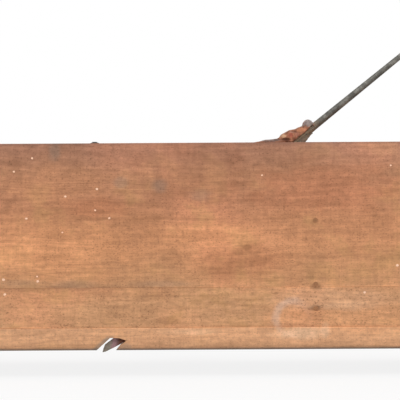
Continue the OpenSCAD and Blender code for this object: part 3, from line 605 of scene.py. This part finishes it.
# Ridge of the slot leather from its nailed edge up to the rod: place along the case, height over the bottom
# edge, half of the width on the curve, how far the sheet wraps, and how far it leans with the rod
LEATHER_RIDGE = [
    (66, 341.8, 24, 0.05, 0), (84, 342.4, 24, 0.10, 0), (98, 344.8, 24, 0.26, 0),
    (112, 348.8, 24, 0.58, 0), (124, 350.2, 25, 0.72, 2), (136, 352.4, 27, 0.93, 6),
    (145, 359.4, 33, 1.30, 15), (155, 364.2, 32, 1.36, 25), (166, 368.2, 24, 1.36, 34),
    (175, 372.8, 21, 1.36, 39), (180, 379.6, 22, 1.35, 39), (186.5, 383.0, 19, 1.4, 39),
    (191.5, 380.8, 15, 1.45, 39),
]
LEATHER_THICK = 0.0022
# Gap between it and the lid over the slot, and where along the case the gap starts and is fully open
LEATHER_GAP = 0.003
GAP_START = 0.084
GAP_FULL = 0.100
# Folds and dents in it: place, size and height, in millimetres
LEATHER_FOLDS = [
    (142.6, 355, 5, 3, 1.5), (148, 349.5, 7, 2.2, -2.6), (156.3, 356.5, 4.5, 5, 1.4),
    (162.5, 352, 3, 7, -1.8), (174, 366, 6, 4, 1.3), (169, 361.5, 8, 2.2, -1.5),
    (177, 371.5, 3, 4, -1.2), (187, 379, 6, 4, 1.2),
]


def slot_leather():
    """Stiff old leather over the lever's slot: flat and nailed at the left, arched over the rod, and torn
    at its tip. It is a grid of points, u along the sheet and v across it."""
    rows, columns = 110, 56
    bm = bmesh.new()
    crease_and_under_shade = bm.verts.layers.float.new("crease_and_under_shade")
    rest = bm.verts.layers.float_vector.new("rest")

    def shape(u, v):
        x, z, half, wrap, tilt = spread(LEATHER_RIDGE, u)
        half *= 1 + ripple(u * 9, 3.1, v * 2) * 0.07 + ripple(u * 31, 7.7, v) * 0.03
        radius = half / max(wrap, 0.02)
        angle = v * max(wrap, 0.02)
        drop = radius * (1 - math.cos(angle))
        lean = math.radians(tilt)
        spot = Vector((x + math.sin(lean) * drop, radius * math.sin(angle), z - math.cos(lean) * drop))
        return spot / 1000 + Vector((0, MIDDLE, BASE))

    def height(u, v, here):
        """Creases across the sheet where it bends up, a loose waviness, and the folds and dents."""
        bend = math.exp(-((u - 0.56) / 0.2) ** 2)
        folds = 0.5 - 2.2 * abs(ripple(u * 6.5 + v * 0.8, v * 1.7, 1.3))
        loose = ripple(u * 8, v * 2.6, 5.2) + 0.3 * ripple(u * 23, v * 7, 8.8)
        lift = bend * folds * 0.0022 + loose * (0.0003 + 0.0009 * clip((u - 0.25) * 3))
        for x, z, rx, rz, high in LEATHER_FOLDS:
            far = ((here.x * 1000 - x) / rx) ** 2 + (((here.z - BASE) * 1000 - z) / rz) ** 2
            lift += high / 1000 * math.exp(-far)
        return lift

    outer, inner = [], []
    for i in range(rows + 1):
        for j in range(columns + 1):
            u = i / rows
            v = j / columns * 2 - 1
            torn = ripple(v * 5, 2.2, 0.4) * 0.018 + ripple(v * 14, 9.1, 0.2) * 0.01
            at = u * (1 + torn) if u > 0.5 else u
            here = shape(at, v)
            along = shape(at + 0.004, v) - shape(at - 0.004, v)
            across = shape(at, v + 0.01) - shape(at, v - 0.01)
            out = along.cross(across).normalized()
            lift = height(u, v, here)
            # The sheet stays on the lid, and over the slot a little clear of it
            clear = TOP + LEATHER_GAP * clip((here.x - GAP_START) / (GAP_FULL - GAP_START))
            top = here + out * lift
            top.z = max(top.z, clear + LEATHER_THICK)
            low = top - out * LEATHER_THICK
            low.z = max(low.z, clear + 0.0001)
            # Painted shade where the sides of the arched sheet turn down under the rod
            under = max(0.0, abs(v) - 0.78) * 1.6 * clip((u - 0.45) * 6)
            for grid, spot in ((outer, top), (inner, low)):
                vert = bm.verts.new(spot)
                vert[crease_and_under_shade] = min(1.0, max(0.0, 0.1 - lift * 300) + under)
                vert[rest] = top
                grid.append(vert)
    close_sheet(bm, outer, inner, rows, columns)
    return new_piece("slot_leather_sheet", bm, leather("old_leather_sheet", 0.3, True))


# Length of the scrap along the rod, and how far it wraps to each side, in radians
SCRAP_LENGTH = 0.027
SCRAP_WRAP = 1.25


def rod_scrap():
    """Torn rest of the leather that still clings under the foot of the rod."""
    rows, columns = 24, 30
    rise, reach = math.sin(LEVER_LEAN), math.cos(LEVER_LEAN)
    along = Vector((reach, 0, rise))
    under = Vector((rise, 0, -reach))
    bm = bmesh.new()
    outer, inner = [], []
    for i in range(rows + 1):
        for j in range(columns + 1):
            turn = (j / columns * 2 - 1) * SCRAP_WRAP
            share = i / rows
            torn = 0.004 * ripple(turn * 2.6, 1.1, 0.3) + 0.002 * ripple(turn * 9, 4.4, 0)
            full = 0.0045 * math.cos(turn) ** 2 * (1 - share) ** 1.3 + 0.0011
            full += 0.0006 * ripple(share * 5, turn * 3, 2.2)
            start = TOP + 0.0008 - PIVOT.z + (ROD_LID_R + full) * math.cos(turn) * reach
            at = start / rise + share * (SCRAP_LENGTH + torn)
            rod = ROD_SHAFT_R - ROD_TAPER * at / ROD_ROOT
            middle = PIVOT + along * at
            for grid, far in ((outer, rod + full), (inner, rod)):
                spot = middle + under * (far * math.cos(turn)) + Vector((0, far * math.sin(turn), 0))
                spot.z = max(spot.z, TOP + 0.0004)
                grid.append(bm.verts.new(spot))
    close_sheet(bm, outer, inner, rows, columns)
    return new_piece("rod_leather_scrap", bm, leather("old_leather_scrap", 1.7, hues=GRIMY_HIDE_WITH_PAINTED_LIGHT))


def add_pad(bm, low, high, seed):
    """Flat leather pad with rounded rims and a slightly uneven surface, added to bm."""
    size = [high[k] - low[k] for k in range(3)]
    thin = size.index(min(size))
    wide = [k for k in range(3) if k != thin]
    pad = bmesh.new()
    bmesh.ops.create_cube(pad, size=1.0)
    bmesh.ops.subdivide_edges(pad, edges=pad.edges, cuts=14, use_grid_fill=True)
    middle = [(low[k] + high[k]) / 2 for k in range(3)]
    for v in pad.verts:
        spot = [middle[k] + v.co[k] * size[k] for k in range(3)]
        rim = min(min(spot[k] - low[k], high[k] - spot[k]) for k in wide)
        near = clip(rim / (size[thin] * 0.9))
        full = 0.45 + 0.55 * math.sqrt(1 - (1 - near) ** 2)
        full *= 0.9 + 0.1 * noise.noise(Vector([s * 60 for s in spot]) + Vector((seed, 0, 0)))
        spot[thin] = middle[thin] + (spot[thin] - middle[thin]) * full
        v.co = spot
    flat = bpy.data.meshes.new("pad")
    pad.to_mesh(flat)
    pad.free()
    bm.from_mesh(flat)
    bpy.data.meshes.remove(flat)


def pad_for(node, seed, boxes=None):
    """Leather laid on a carrier, cut to the size of the node it stands for."""
    bm = bmesh.new()
    width, length = 0.0, 0.0
    for low, high in boxes or [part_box(node)]:
        add_pad(bm, low, high, seed)
        sides = sorted(high[k] - low[k] for k in range(3))
        width = max(width, sides[1])
        length += sides[2]
    bmesh.ops.recalc_face_normals(bm, faces=bm.faces)
    piece = new_piece(node + "_pad", bm, pad_leather)
    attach(piece, body_of[node])
    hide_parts(node)


def paint_flecks():
    """Specks of old paint stuck to the front face: flat, ragged and slightly domed."""
    sides = 9
    bm = bmesh.new()
    for n, (x, z, size) in enumerate(FLECKS):
        middle = Vector((x / 1000, FRONT, BASE + z / 1000))
        rings = []
        for share, off in ((1.0, -0.00002), (0.75, 0.00016), (0.3, 0.00024)):
            loop = []
            for k in range(sides):
                a = 2 * math.pi * k / sides
                r = size / 1000 * share * (1 + 0.35 * ripple(n * 3.7, k * 0.9, 1.0))
                loop.append(bm.verts.new(middle + Vector((math.cos(a) * r, -off, math.sin(a) * r * 0.85))))
            rings.append(loop)
        skin(bm, rings)
        bm.faces.new(rings[-1])
        bm.faces.new(rings[0][::-1])
    bmesh.ops.recalc_face_normals(bm, faces=bm.faces)
    return new_piece("paint_flecks", bm, old_paint())


def nail_rove():
    """Beaten iron washer under the half-driven nail in the top edge."""
    sides = 28
    profile = [(0.2, 0.0), (7.0, 0.0), (7.2, 0.5), (6.2, 1.1), (4.0, 1.7), (2.2, 1.9)]
    bm = bmesh.new()
    rings = []
    for r, z in profile:
        loop = []
        for k in range(sides):
            a = 2 * math.pi * k / sides
            dent = ripple(math.cos(a) * 1.7, math.sin(a) * 1.7, 4.0)
            out = r * (1 + 0.09 * dent) / 1000
            spot = Vector((math.cos(a) * out, math.sin(a) * out, z * (1 + 0.2 * dent) / 1000))
            loop.append(bm.verts.new(LOOSE_NAIL + spot))
        rings.append(loop)
    skin(bm, rings + rings[:1])
    bmesh.ops.recalc_face_normals(bm, faces=bm.faces)
    return new_piece("nail_rove", bm, nail_iron)


# Materials: two tones of wood for each slot, the boards whose grain doesn't run along the case, the
# leather and the irons
TONES = {
    "plank_wood": (srgb(168, 118, 84), srgb(200, 146, 104)),
    "rail_wood": (srgb(160, 112, 80), srgb(192, 140, 100)),
    "inner_wood": (srgb(150, 112, 78), srgb(184, 142, 102)),
    "grip_wood": (srgb(104, 66, 40), srgb(140, 94, 60)),
}
FRONT_PLANKS = ("front_upper_plank", "front_lower_plank")
GRAIN_ALONG = {
    "left_end_board": "y", "right_end_board": "y", "wall_cleats": "z", "left_foot": "y", "right_foot": "y",
    "trunk_left_end": "z", "trunk_right_end": "z", "piston_board": "z", "piston_battens": "z",
    "left_inlet_flap": "y", "right_inlet_flap": "y",
}
pad_leather = leather("old_leather_pads", 4.1)
plain_iron = iron("forged_fittings", srgb(98, 94, 90), 0.6, 2.4)
nail_iron = iron("nail_heads", srgb(84, 74, 68), 0.85, 5.2, 0.35)
own_iron = {
    "lever_rod": iron("forged_rod", srgb(114, 112, 105), 0.2, 0.0, 0.45, rod_tint),
    "cleat_nails": iron("rusted_nail_heads", srgb(160, 108, 68), 0.5, 6.6, 0.05),
    "back_lashing_hook": iron("lashing_iron", srgb(112, 100, 98), 0.35, 8.1, 0.4),
    "front_lashing_hook": iron("front_lashing_iron", srgb(112, 100, 98), 0.25, 8.1, 0.25, hook_tint),
}


def dress(name, seed):
    """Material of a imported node."""
    slot = slot_of[name]
    if name in FRONT_PLANKS:
        return wood(name + "_wood", "x", face_tone, seed, 0.55, face_marks, True)
    if name == "front_base_rail":
        return wood(name + "_wood", "x", rail_tone, seed, 0.4, face_marks, True)
    if slot in TONES:
        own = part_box(name)
        along = GRAIN_ALONG.get(name, "x")
        outer = TRUNK_BOX if name.startswith("trunk") else CASE_BOX
        if name.endswith("foot") or slot == "inner_wood":
            outer = own
        marks = handled if name == "lever_grip" else edge_wear(own, outer, along)
        return wood(name + "_wood", along, TONES[slot], seed, 0.6, marks)
    if slot == "old_leather":
        return pad_leather
    if "nails" in name or "tacks" in name:
        return own_iron.get(name, nail_iron)
    return own_iron.get(name, plain_iron)


for count, (name, piece) in enumerate(sorted(nodes.items())):
    piece.data.materials.clear()
    piece.data.materials.append(dress(name, count * 0.37))
    if slot_of[name] in TONES and name != "lever_grip" and name not in FRONT_PLANKS:
        worn_edge = piece.modifiers.new("worn_edges", "BEVEL")
        worn_edge.width = 0.0012
        worn_edge.segments = 2
        worn_edge.limit_method = "ANGLE"
        worn_edge.angle_limit = math.radians(50)

# Leather, modelled in place of the plain solids
sheet = slot_leather()
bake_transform(sheet)
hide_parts("slot_leather")
scrap = rod_scrap()
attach(scrap, "lever")
for count, name in enumerate(sorted(nodes)):
    if name.endswith(("_facing", "_hinge")):
        pad_for(name, count * 2.3)

# The piston's packing, as four strips round its board
low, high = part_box("piston_packing")
inner_low, inner_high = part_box("piston_board")
strips = [
    ((low[0], low[1], low[2]), (high[0], high[1], inner_low[2])),
    ((low[0], low[1], inner_high[2]), (high[0], high[1], high[2])),
    ((low[0], low[1], inner_low[2]), (high[0], inner_low[1], inner_high[2])),
    ((low[0], inner_high[1], inner_low[2]), (high[0], high[1], inner_high[2])),
]
pad_for("piston_packing", 77.0, strips)

# Small pieces on the case
flecks = paint_flecks()
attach(flecks, "case")
rove = nail_rove()
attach(rove, "case")

# Light on the object from the sky, and the lamps with their places, sizes and powers, all aimed at the case
SKY_LIGHT = 0.46
LAMP_AIM = Vector((0, 0, 0.25))
LAMPS = [
    ("key", (-1.2, -2.6, 2.6), 1.6, 51), ("fill", (1.8, -2.4, 1.6), 1.8, 25),
    ("back", (0.4, 2.4, 2.2), 1.8, 34),
]
# Half the floor's width, and how far the floor's shadow reaches before the floor turns plain white
FLOOR_HALF = 6.0
SHADOW_FADE = (0.7, 2.0)
# The camera's distance from the front face, height over the case's bottom edge, and roll
EYE_BACK = 2.733
EYE_UP = 0.246
EYE_ROLL = math.radians(0.33)


def studio_floor():
    """Pale floor that is nearly white to the camera and in reflections, so that mostly its shadow shows."""
    bm = bmesh.new()
    bmesh.ops.create_grid(bm, x_segments=4, y_segments=4, size=FLOOR_HALF)
    g = Graph("studio_floor")
    tint = g.noise(g.place, 3.0, 2.0)
    colour = g.mix(tint, (0.86, 0.86, 0.86, 1), (0.9, 0.9, 0.9, 1))
    g.finish(colour, g.step(tint, 0.3, 0.7, 0.9, 0.95), g.bump(tint, 0.02, 0.001))
    glow = g.node("ShaderNodeEmission")
    glow.inputs["Strength"].default_value = 1.0
    path = g.node("ShaderNodeLightPath")
    seen = g.plus(path.outputs["Is Camera Ray"], path.outputs["Is Glossy Ray"])
    seen = g.math("ADD", seen, path.outputs["Is Transmission Ray"], clamp=True)
    both = g.node("ShaderNodeMixShader")
    g.put(both.inputs[0], g.times(seen, g.step(g.far(g.x, g.y), *SHADOW_FADE, 0.86, 1.0)))
    g.put(both.inputs[1], g.shader.outputs[0])
    g.put(both.inputs[2], glow.outputs[0])
    g.put(g.tree.nodes["Material Output"].inputs["Surface"], both.outputs[0])
    return new_piece("studio_floor", bm, g.material)


def studio_sky():
    """White world that lights the object evenly, and is full white to the camera and in reflections."""
    world = bpy.data.worlds.new("studio")
    world.use_nodes = True
    tree = world.node_tree
    path = tree.nodes.new("ShaderNodeLightPath")
    seen = path.outputs["Is Camera Ray"]
    for ray in ("Is Glossy Ray", "Is Transmission Ray"):
        either = tree.nodes.new("ShaderNodeMath")
        either.operation = "ADD"
        either.use_clamp = True
        tree.links.new(seen, either.inputs[0])
        tree.links.new(path.outputs[ray], either.inputs[1])
        seen = either.outputs[0]
    level = tree.nodes.new("ShaderNodeMapRange")
    tree.links.new(seen, level.inputs["Value"])
    level.inputs["To Min"].default_value = SKY_LIGHT
    level.inputs["To Max"].default_value = 1.0
    sky = tree.nodes["Background"]
    sky.inputs["Color"].default_value = (1, 1, 1, 1)
    tree.links.new(level.outputs[0], sky.inputs["Strength"])
    return world


def softbox(name, place, size, power):
    lamp = bpy.data.lights.new(name, "AREA")
    lamp.shape = "DISK"
    lamp.size = size
    lamp.energy = power
    made = bpy.data.objects.new(name, lamp)
    made.location = place
    made.rotation_euler = (LAMP_AIM - Vector(place)).to_track_quat("-Z", "Y").to_euler()
    bpy.context.scene.collection.objects.link(made)


# Floor, light and camera
floor = studio_floor()
scene = bpy.context.scene
scene.world = studio_sky()
for lamp_values in LAMPS:
    softbox(*lamp_values)
camera = bpy.data.cameras.new("camera")
camera.lens = 150
camera.sensor_width = 36
eye = bpy.data.objects.new("camera", camera)
eye.location = (0, FRONT - EYE_BACK, BASE + EYE_UP)
eye.rotation_euler = (math.radians(90), EYE_ROLL, 0)
scene.collection.objects.link(eye)
scene.camera = eye
bpy.context.scene.view_settings.view_transform = "Standard"
